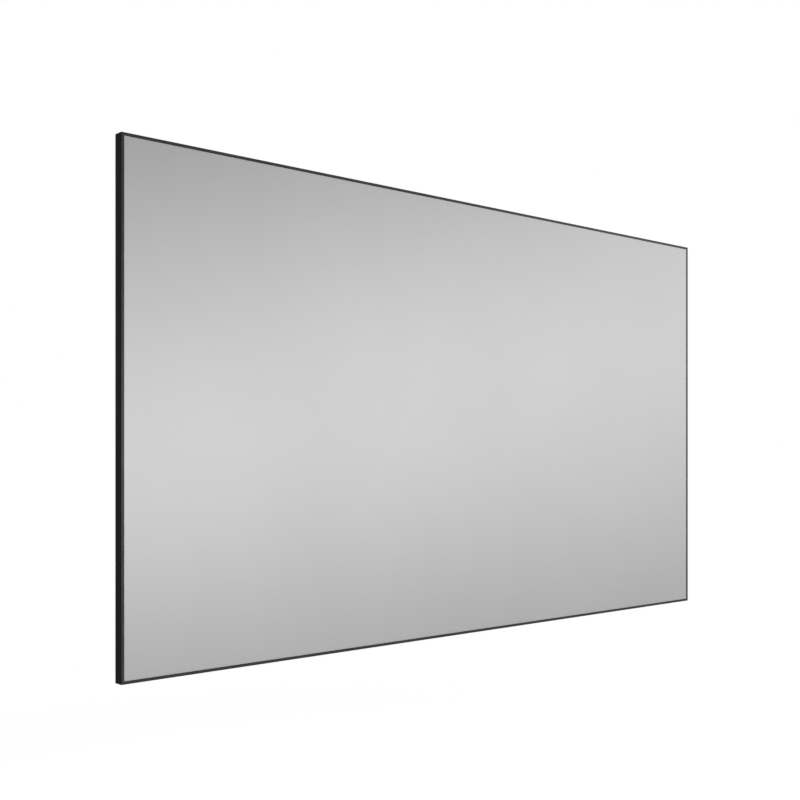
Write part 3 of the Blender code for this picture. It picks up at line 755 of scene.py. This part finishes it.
def add_bezels():
    """Each length of the bezel, mitred where its solid's end is at a corner of the screen. Its front is
    satin, with
    painted light: a paler copy of the bezel's black. Its side and back are matt in the bezel's own black."""
    for node in nodes_named("bezel_"):
        side = side_of(node)
        low, high = side_box(node, side)
        corner = LENGTHS[side] / 2 - 2 * GAP
        mesh = prism([bezel_section()], (high.z - low.z) / 2)
        for vertex in mesh.vertices:
            inward = vertex.co.x
            if vertex.co.z < 0:
                vertex.co.z = low.z + (inward if low.z < -corner else 0)
            else:
                vertex.co.z = high.z - (inward if high.z > corner else 0)
        mesh.update()
        shade_round(mesh)
        mesh.materials.append(BEZEL_FINISH)
        mesh.materials.append(BEZEL_FRONT_PAINTED_LIGHT_FINISH)
        # The front faces take the paler copy of the black, painted light, with its satin roughness
        for face in mesh.polygons:
            face.material_index = face.normal.y < FACES_FRONT
        add_piece(f"{node}_trim", mesh, None, [node], SIDES[side])


# Rods and springs


def rod_mesh(length):
    """A round rod along local Z with lightly rounded ends."""
    half = length / 2
    quarter = arc((ROD_RADIUS - ROD_EDGE, half - ROD_EDGE), ROD_EDGE, 90, 0, EDGE_STEP)
    outline = [*quarter, *[(radius, -height) for radius, height in reversed(quarter)]]
    rings = [(half, None), *[(height, radius) for radius, height in outline], (-half, None)]
    mesh = turned("rod", rings, ROD_SIDES)
    shade_round(mesh)
    return mesh


def coil_line(start):
    """The close coil from its start inward, its first and last half turns winding in from the axis."""
    turns = SPRING_BODY / SPRING_PITCH
    steps = round(turns * SPRING_POINTS)
    line = []
    for i in range(steps + 1):
        share = i / steps
        grown = min(1, 2 * turns * min(share, 1 - share))
        angle = 2 * math.pi * turns * share
        widening = SPRING_NECK + (1 - SPRING_NECK) * math.sin(grown * math.pi / 2)
        radius = (SPRING_RADIUS - WIRE_RADIUS) * widening
        back = HEM_BACK + radius * math.cos(angle)
        line.append((start + SPRING_BODY * share, back, radius * math.sin(angle)))
    return line


def spring_line():
    """The wire's middle line, in the side's own axes: a hook round the rod, the close coil, and a hook
    over the beam's ridge."""
    start = ROD_INWARD + SPRING_FROM_ROD
    end = start + SPRING_BODY
    over = RIDGE_BACK + GAP + WIRE_RADIUS
    behind = RIDGE + BEAM_WALL + GAP + WIRE_RADIUS
    hook = arc((ROD_INWARD, HEM_BACK), ROD_RADIUS + WIRE_RADIUS, HOOK_FROM, HOOK_TO, HOOK_STEP)
    bend = arc((behind - HOOK_BEND, over - HOOK_BEND), HOOK_BEND, 90, 0, BEND_STEP)
    return [
        *[(inward, back, 0) for inward, back in hook],
        (start - SPRING_LEAD, HEM_BACK, 0),
        *coil_line(start),
        (end + SPRING_LEAD, HEM_BACK, 0),
        (RIDGE - HOOK_BEFORE_RIDGE, over, 0),
        *[(inward, back, 0) for inward, back in bend],
        (behind, over - HOOK_DROP, 0),
    ]


def spring_mesh():
    curve = bpy.data.curves.new("spring", "CURVE")
    curve.dimensions = "3D"
    curve.bevel_depth = WIRE_RADIUS
    curve.bevel_resolution = WIRE_RESOLUTION
    curve.use_fill_caps = True
    points = spring_line()
    spline = curve.splines.new("POLY")
    spline.points.add(len(points) - 1)
    for point, place in zip(spline.points, points):
        point.co = (*place, 1)
    mesh = baked(bpy.data.objects.new("spring", curve))
    shade_round(mesh, FINE_SMOOTH_UNDER)
    return mesh


def add_tension():
    """The rods, each standing for its solid, and a coil spring at every window in the hem."""
    spring = spring_mesh()
    for node in nodes_named("tension_rod_"):
        name = node.removeprefix("tension_rod_")
        side = side_of(node)
        low, high = side_box(node, side)
        middle = Matrix.Translation((ROD_INWARD, HEM_BACK, (low.z + high.z) / 2))
        rod = rod_mesh(high.z - low.z)
        add_piece(f"rod_{name}", rod, WIRE_FINISH, [node], SIDES[side] @ middle)
        places = [place for place in spring_places(side) if low.z < place < high.z]
        for number, place in enumerate(places, 1):
            matrix = SIDES[side] @ Matrix.Translation((0, 0, place))
            add_piece(f"spring_{name}_{number}", spring, WIRE_FINISH, (), matrix)


# Screws


def hexagon(radius):
    """The radius of a hexagon at each angle, from its radius at the corners."""
    half = math.pi / 6
    return lambda angle: radius * math.cos(half) / math.cos((angle + half) % (2 * half) - half)


def thread(start):
    """The thread's radius at each angle of a ring that starts at this share of a turn: a crest and a root
    once a turn."""

    def radius(angle):
        turn = (start + angle / (2 * math.pi)) % 1
        return SCREW_RADIUS - THREAD_DEPTH * abs(2 * turn - 1)

    return radius


def screw_mesh(shank):
    """A socket screw along local Z, its eased head up, with a rolled thread."""
    head, ease, plain = SCREW_HEAD, SCREW_EASE, SCREW_PLAIN
    socket_floor = head - SCREW_SOCKET
    corner = (SCREW_HEAD_RADIUS - SCREW_HEAD_EDGE, head - SCREW_HEAD_EDGE)
    rounding = arc(corner, SCREW_HEAD_EDGE, 90, 0, BEND_STEP)
    steps = round((shank - 2 * plain) / THREAD_PITCH * THREAD_RINGS)
    turns = [i / THREAD_RINGS for i in range(steps + 1)]
    rings = [
        (socket_floor - ease, None),
        (socket_floor, hexagon(SCREW_SOCKET_RADIUS)),
        (head - ease, hexagon(SCREW_SOCKET_RADIUS)),
        (head, hexagon(SCREW_SOCKET_RADIUS + ease)),
        *[(height, radius) for radius, height in rounding],
        (ease, SCREW_HEAD_RADIUS),
        (0, SCREW_HEAD_RADIUS - ease),
        (0, SCREW_RADIUS),
        (-plain, SCREW_RADIUS),
        *[(-plain - turn * THREAD_PITCH, thread(turn)) for turn in turns],
        (-shank, SCREW_RADIUS - 2 * THREAD_DEPTH),
        (-shank, None),
    ]
    mesh = turned("screw", rings, SCREW_SIDES)
    shade_round(mesh, FINE_SMOOTH_UNDER)
    return mesh


def add_screws():
    """Each screw's head lies on the channel floor, under the middle of its solid."""
    nodes = sorted(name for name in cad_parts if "_screw_" in name)
    low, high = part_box(nodes[0])
    mesh = screw_mesh(high.y - low.y - SCREW_HEAD)
    for node in nodes:
        low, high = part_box(node)
        middle = (low + high) / 2
        place = Vector((middle.x, high.y - SCREW_HEAD, middle.z))
        matrix = Matrix.Translation(place) @ FACING_WALL
        add_piece(f"{node}_threaded", mesh, SCREW_FINISH, [node], matrix)


# Support bars and their shoes


def add_bars():
    """Upright tubes with rounded corners."""
    for node in nodes_named("support_bar_"):
        low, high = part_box(node)
        half = (high - low) / 2
        outer = rounded_rectangle(half.x, half.y, BAR_EDGE_RADIUS)
        inner = rounded_rectangle(half.x - BAR_WALL, half.y - BAR_WALL, BAR_EDGE_RADIUS - BAR_WALL)
        mesh = prism([outer, inner], half.z)
        shade_round(mesh)
        matrix = Matrix.Translation((low + high) / 2)
        add_piece(f"{node}_tube", mesh, BAR_FINISH, [node], matrix)


def shoe_section(front, jaw, neck):
    """The jaws round the flange and the neck, with grip grooves across the back."""
    top = BEAM_INNER + GAP
    jaw_front = BEAM_BACK + GAP
    web = FLANGE_EDGE + GAP
    flange_front = BEAM_BACK - BEAM_WALL - GAP
    pitch = (neck - top) / (SHOE_GROOVES + 1)
    grooves = []
    for i in range(SHOE_GROOVES):
        middle = neck - pitch * (i + 1)
        near, far = middle + SHOE_GROOVE_WIDTH / 2, middle - SHOE_GROOVE_WIDTH / 2
        bottom = jaw - SHOE_GROOVE_DEPTH
        grooves += [(near, jaw), (near, bottom), (far, bottom), (far, jaw)]
    return [
        (top, front),
        (neck, front),
        (neck, jaw),
        *grooves,
        (top, jaw),
        (top, jaw_front),
        (web, jaw_front),
        (web, flange_front),
        (top, flange_front),
    ]


def add_shoes():
    """Each shoe holds the flange in its jaws, and its plug goes into the end of the bar."""
    bar_low, bar_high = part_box("support_bar_left")
    half = (bar_high.x - bar_low.x) / 2
    front = bar_low.y - FRONT_Y
    depth = bar_high.y - bar_low.y
    neck = TOP_Z - bar_high.z - GAP
    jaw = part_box("bar_shoe_top_left")[1].y - FRONT_Y
    plug_start = neck - BAR_WALL
    plug_end = neck + GAP + SHOE_PLUG
    inset = BAR_WALL + GAP
    place = ((plug_start + plug_end) / 2, front + depth / 2, 0)
    plug = blocks([place], (plug_end - plug_start, depth - 2 * inset, 2 * (half - inset)))
    mesh = joined(prism([shoe_section(front, jaw, neck)], half), plug, "UNION")
    for node in nodes_named("bar_shoe_"):
        side = side_of(node)
        low, high = side_box(node, side)
        matrix = SIDES[side] @ Matrix.Translation((0, 0, (low.z + high.z) / 2))
        shoe = add_piece(f"{node}_moulding", mesh, SHOE_FINISH, [node], matrix)
        round_edges(shoe, SHOE_EDGE, segments=3)


# Wall hangers and bumpers


def hanger_section(tip, end):
    """The folded sheet: a tongue up in front of the flange, an arm under it, a plate down the wall."""
    inside, outside = HANGER_BEND, HANGER_BEND + HANGER_SHEET
    tongue_back = BEAM_BACK - BEAM_WALL - TONGUE_GAP
    arm_top = FLANGE_EDGE + GAP
    wall_front = WALL - HANGER_SHEET
    low_bend = (arm_top - inside, tongue_back + inside)
    high_bend = (arm_top + outside, wall_front - inside)
    return [
        (tip, tongue_back - HANGER_SHEET),
        *arc(low_bend, outside, 270, 360),
        *arc(high_bend, inside, 180, 90),
        (end, wall_front),
        (end, WALL),
        *arc(high_bend, outside, 90, 180),
        *arc(low_bend, inside, 360, 270),
        (tip, tongue_back),
    ]


def with_round_corners(mesh, end):
    """The hanger with the two corners at the end of its plate rounded."""
    shape = bmesh.new()
    shape.from_mesh(mesh)
    corners = []
    for line in shape.edges:
        first, second = (vertex.co for vertex in line.verts)
        at_end = abs(first.x - end) < MERGE and abs(second.x - end) < MERGE
        if at_end and abs(first.z - second.z) < MERGE:
            corners.append(line)
    bmesh.ops.bevel(
        shape,
        geom=corners,
        offset=HANGER_CORNER,
        segments=HANGER_CORNER_SEGMENTS,
        profile=0.5,
        affect="EDGES",
    )
    return written(shape, mesh)


def hanger_mesh(tip, end, width):
    mesh = with_round_corners(prism([hanger_section(tip, end)], width / 2), end)
    radius = SLOT_WIDTH / 2
    reach = SLOT_LENGTH / 2 - radius
    middle = (FLANGE_EDGE + GAP + end) / 2
    for at in (-SLOT_SPACING / 2, SLOT_SPACING / 2):
        far_end = arc((middle, at + reach), radius, 0, 180)
        near_end = arc((middle, at - reach), radius, 180, 360)
        cutter = prism([[*far_end, *near_end]], 2 * HANGER_SHEET)
        cutter.transform(Matrix.Translation((0, WALL, 0)) @ UPRIGHT)
        mesh = joined(mesh, cutter, "DIFFERENCE")
    return mesh


def add_hangers():
    """Folded steel plates, with two slots each for the wall's screws."""
    nodes = nodes_named("wall_hanger_")
    low, high = side_box(nodes[0], "top")
    mesh = hanger_mesh(low.x, high.x, high.z - low.z)
    for node in nodes:
        low, high = side_box(node, "top")
        matrix = SIDES["top"] @ Matrix.Translation((0, 0, (low.z + high.z) / 2))
        hanger = add_piece(f"{node}_plate", mesh, HANGER_FINISH, [node], matrix)
        round_edges(hanger, HANGER_EDGE, segments=2)


def add_bumpers():
    """Rubber pads with grooves across the face that meets the wall."""
    nodes = nodes_named("wall_bumper_")
    low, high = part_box(nodes[0])
    half = (high - low) / 2
    pitch = 2 * half.x / (BUMPER_GROOVES + 1)
    places = [(pitch * (i + 1) - half.x, 0, half.y) for i in range(BUMPER_GROOVES)]
    past_both_ends = 3 * half.z
    grooves = blocks(places, (BUMPER_GROOVE_WIDTH, past_both_ends, 2 * BUMPER_GROOVE_DEPTH))
    pad = prism([rounded_rectangle(half.x, half.z, BUMPER_CORNER)], half.y)
    mesh = joined(pad, grooves, "DIFFERENCE")
    for node in nodes:
        low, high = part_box(node)
        matrix = Matrix.Translation((low + high) / 2) @ FACING_WALL
        bumper = add_piece(f"{node}_pad", mesh, BUMPER_FINISH, [node], matrix)
        round_edges(bumper, BUMPER_EDGE, segments=2)


# The solids that keep their own shape


def dress_solids():
    """The beams' drawn lines run along their length. The elbows and the splices are plated."""
    for name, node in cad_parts.items():
        if name.startswith("beam_"):
            finish = BEAM_FINISH["X" if side_of(name) in ("top", "bottom") else "Z"]
        elif name.startswith(("elbow_", "splice_")) and "_screw_" not in name:
            finish = PLATE_FINISH
        else:
            continue
        node.data.materials.clear()
        node.data.materials.append(finish)


# Camera, lamps, background and floor


def add_camera():
    data = bpy.data.cameras.new("camera")
    data.lens = CAMERA_LENS
    data.sensor_width = CAMERA_SENSOR
    data.shift_y = CAMERA_SHIFT_UP
    camera = bpy.data.objects.new("camera", data)
    bpy.context.scene.collection.objects.link(camera)
    camera.location = MIDDLE + CAMERA_PLACE
    camera.rotation_euler = (math.radians(90), 0, CAMERA_TURN)
    bpy.context.scene.camera = camera


def add_lamp(name, place, aim, size, watts):
    data = bpy.data.lights.new(name, "AREA")
    data.shape = "RECTANGLE"
    data.size, data.size_y = size
    data.energy = watts
    lamp = bpy.data.objects.new(name, data)
    bpy.context.scene.collection.objects.link(lamp)
    lamp.location = place
    lamp.rotation_euler = (aim - place).to_track_quat("-Z", "Y").to_euler()
    lamp.visible_camera = False


def add_lamps():
    for name, (right, forward, up, watts) in FRONT_LAMPS.items():
        place = MIDDLE + Vector((right, -forward, up))
        straight_on = place + Vector((0, 1, 0))
        add_lamp(f"front_lamp_{name}", place, straight_on, FRONT_LAMP_SIZE, watts)
    for name, right in BACK_LAMPS.items():
        place = MIDDLE + Vector((right, BACK_LAMP_AWAY, BACK_LAMP_UP))
        add_lamp(f"back_lamp_{name}", place, MIDDLE, BACK_LAMP_SIZE, BACK_LAMP_WATTS)


def seen_rays(owner):
    """1 for camera, glossy and transmission rays, and 0 for the rest."""
    rays = add_node(owner, "ShaderNodeLightPath").outputs
    glossy_too = calculated(owner, "MAXIMUM", rays["Is Camera Ray"], rays["Is Glossy Ray"])
    return calculated(owner, "MAXIMUM", glossy_too, rays["Is Transmission Ray"])


def add_world():
    """White where it is seen, and a weak even fill where it lights."""
    world = bpy.data.worlds.new("studio")
    bpy.context.scene.world = world
    world.use_nodes = True
    nodes = world.node_tree.nodes
    fill = nodes["Background"]
    fill.inputs["Color"].default_value = WHITE
    fill.inputs["Strength"].default_value = AMBIENT
    white = add_node(world, "ShaderNodeBackground", Color=WHITE, Strength=1.0)
    shaders = fill.outputs["Background"], white.outputs["Background"]
    surface = mixed_shader(world, seen_rays(world), *shaders)
    set_input(world, nodes["World Output"].inputs["Surface"], surface)


def floor_material():
    """Pale, and white where it is seen away from the screen; near it, a part of the light falls from the
    lamps, so that the screen's shadow stays."""
    material = bpy.data.materials.new("studio_floor")
    material.use_nodes = True
    nodes = material.node_tree.nodes
    nodes.remove(nodes["Principled BSDF"])
    pale = add_node(material, "ShaderNodeBsdfDiffuse", Color=FLOOR_PALE)
    lit = add_node(material, "ShaderNodeBsdfDiffuse", Color=FLOOR_LIT)
    glow = add_node(material, "ShaderNodeEmission", Strength=FLOOR_GLOW)
    shadowed = add_node(material, "ShaderNodeAddShader")
    set_input(material, shadowed.inputs[0], glow.outputs["Emission"])
    set_input(material, shadowed.inputs[1], lit.outputs["BSDF"])
    white = add_node(material, "ShaderNodeEmission")
    place = add_node(material, "ShaderNodeTexCoord")
    distance = add_node(material, "ShaderNodeVectorMath")
    distance.operation = "LENGTH"
    set_input(material, distance.inputs[0], place.outputs["Object"])
    away = add_node(
        material,
        "ShaderNodeMapRange",
        Value=distance.outputs["Value"],
        From_Min=FLOOR_SHADOW_NEAR,
        From_Max=FLOOR_SHADOW_FAR,
    )
    away.interpolation_type = "SMOOTHSTEP"
    shaders = shadowed.outputs["Shader"], white.outputs["Emission"]
    seen = mixed_shader(material, away.outputs["Result"], *shaders)
    surface = mixed_shader(material, seen_rays(material), pale.outputs["BSDF"], seen)
    set_input(material, nodes["Material Output"].inputs["Surface"], surface)
    return material


def add_floor():
    shape = bmesh.new()
    bmesh.ops.create_circle(shape, cap_ends=True, segments=FLOOR_SIDES, radius=FLOOR_RADIUS)
    mesh = written(shape, bpy.data.meshes.new("studio_floor"))
    mesh.materials.append(floor_material())
    floor = bpy.data.objects.new("studio_floor", mesh)
    bpy.context.scene.collection.objects.link(floor)
    floor.location = (MIDDLE.x, 0, BOTTOM_Z - FLOOR_BELOW)


add_camera()
add_fabric()
add_bezels()
add_tension()
add_screws()
add_bars()
add_shoes()
add_hangers()
add_bumpers()
dress_solids()
add_lamps()
add_world()
add_floor()
bpy.context.scene.view_settings.view_transform = "Standard"
